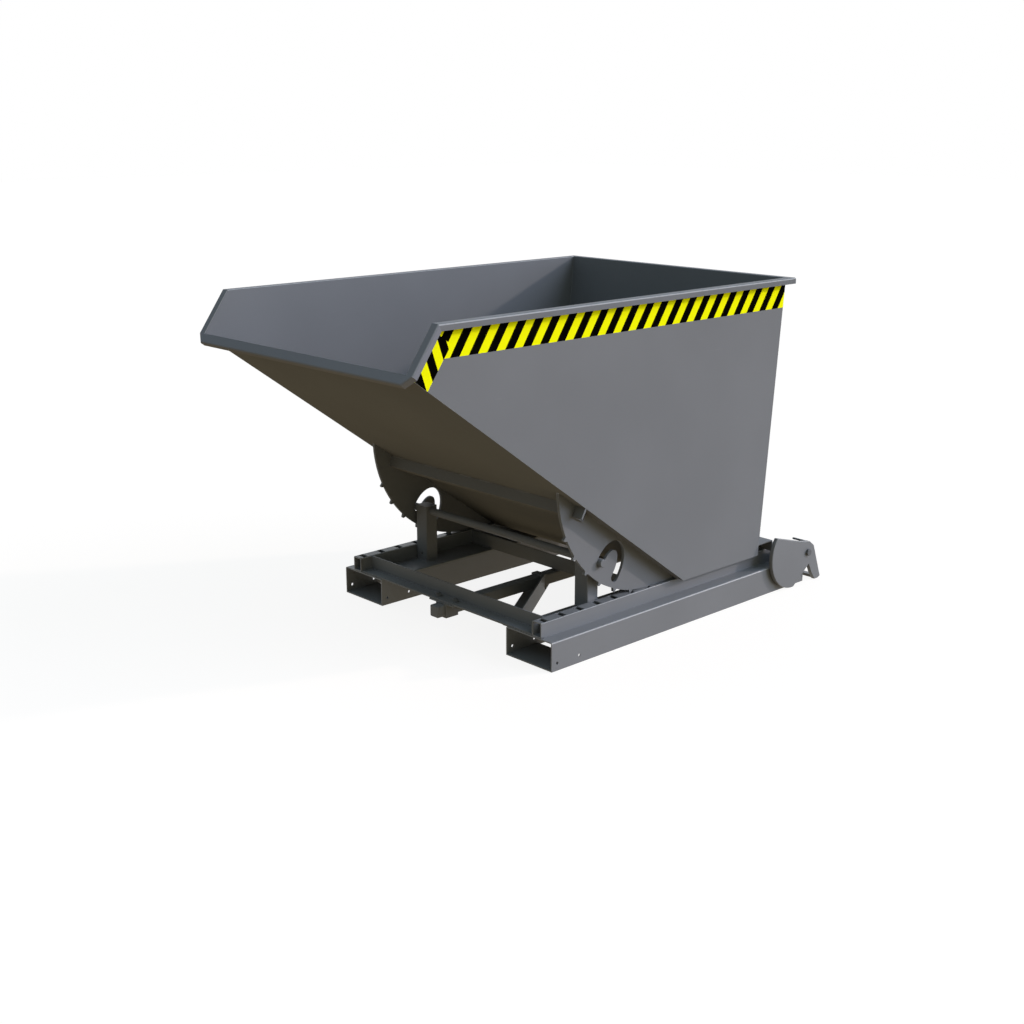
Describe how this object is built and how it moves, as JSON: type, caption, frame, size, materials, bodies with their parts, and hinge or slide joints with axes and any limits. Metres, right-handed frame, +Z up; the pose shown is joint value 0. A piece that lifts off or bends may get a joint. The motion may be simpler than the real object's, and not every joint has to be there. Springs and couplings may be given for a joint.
{
  "type": "tipping hopper",
  "caption": "Forklift tipping hopper: an open sheet-steel skip that rolls and tips forward on toothed rockers over slotted rails, on a base with fork pockets, release bar and fork locks.",
  "frame": {"origin": "bottom centre of the whole object at rest, on the floor", "axes": "+X to the right-hand side, seen from behind; +Y towards the back, so the hopper tips out at -Y; +Z up"},
  "size_m": [1.0946, 1.9168, 1.112],
  "materials": {
    "grey_paint": "satin",
    "hazard_tape": "matte",
    "bolt_steel": "satin"
  },
  "bodies": {
    "base": {"bar_guide": "grey_paint", "bar_sleeve": "grey_paint", "diagonal_brace": "grey_paint", "fork_pocket_left": "grey_paint", "fork_pocket_right": "grey_paint", "front_crossbeam": "grey_paint", "front_strap_left": "grey_paint", "front_strap_right": "grey_paint", "guide_rod": "grey_paint", "latch_bracket": "grey_paint", "latch_pin": "bolt_steel", "lock_block_left": "grey_paint", "lock_block_right": "grey_paint", "lock_bolt_left": "bolt_steel", "lock_bolt_right": "bolt_steel", "middle_crossbeam": "grey_paint", "post_left": "grey_paint", "post_right": "grey_paint", "rail_left": "grey_paint", "rail_right": "grey_paint", "rear_crossbeam": "grey_paint", "rear_strap_left": "grey_paint", "rear_strap_right": "grey_paint", "sleeve_bolts": "bolt_steel"},
    "hopper": {"back_sheet": "grey_paint", "bottom_plate": "grey_paint", "box_beam": "grey_paint", "cross_stiffener": "grey_paint", "floor_sheet": "grey_paint", "front_lip": "grey_paint", "front_rim_left": "grey_paint", "front_rim_right": "grey_paint", "hazard_tape_left": "hazard_tape", "hazard_tape_right": "hazard_tape", "lip_end_left": "grey_paint", "lip_end_right": "grey_paint", "rear_rim": "grey_paint", "rocker_left": "grey_paint", "rocker_right": "grey_paint", "side_wall_left": "grey_paint", "side_wall_right": "grey_paint", "top_rim_left": "grey_paint", "top_rim_right": "grey_paint"},
    "roll_carriage": {"roll_plug_left": "grey_paint", "roll_plug_right": "grey_paint"},
    "push_bar": {"push_bar": "grey_paint", "push_bar_plug": "grey_paint", "push_bar_nose": "grey_paint"},
    "latch": {"latch_hook": "grey_paint"},
    "fork_lock_left": {"lock_plate_left": "grey_paint", "lock_bar_left": "grey_paint", "lock_stop_left": "grey_paint"},
    "fork_lock_right": {"lock_plate_right": "grey_paint", "lock_bar_right": "grey_paint", "lock_stop_right": "grey_paint"}
  },
  "joints": [
    {"name": "tip", "type": "hinge", "parent": "roll_carriage", "child": "hopper", "pos_m": [0, 0.08539, 0.558], "axis": [1, 0, 0], "range_deg": [0, 66]},
    {"name": "roll", "type": "slide", "parent": "base", "child": "roll_carriage", "axis": [0, -1, 0], "range_m": [0, 0.4746]},
    {"name": "bar_slide", "type": "slide", "parent": "base", "child": "push_bar", "axis": [0, -1, 0], "range_m": [0, 0.01276]},
    {"name": "latch_turn", "type": "hinge", "parent": "base", "child": "latch", "pos_m": [0, 0.74177, 0.035], "axis": [1, 0, 0], "range_deg": [0, 18.01]},
    {"name": "lock_left_turn", "type": "hinge", "parent": "base", "child": "fork_lock_left", "pos_m": [-0.5315, 0.87339, 0.115], "axis": [1, 0, 0], "range_deg": [0, 26]},
    {"name": "lock_right_turn", "type": "hinge", "parent": "base", "child": "fork_lock_right", "pos_m": [0.5315, 0.87339, 0.115], "axis": [1, 0, 0], "range_deg": [0, 26]}
  ],
  "couplings": [
    {"joint": "roll", "follows": "tip", "m_per_rad": 0.412},
    {"joint": "latch_turn", "follows": "bar_slide", "rad_per_m": 24.616}
  ]
}
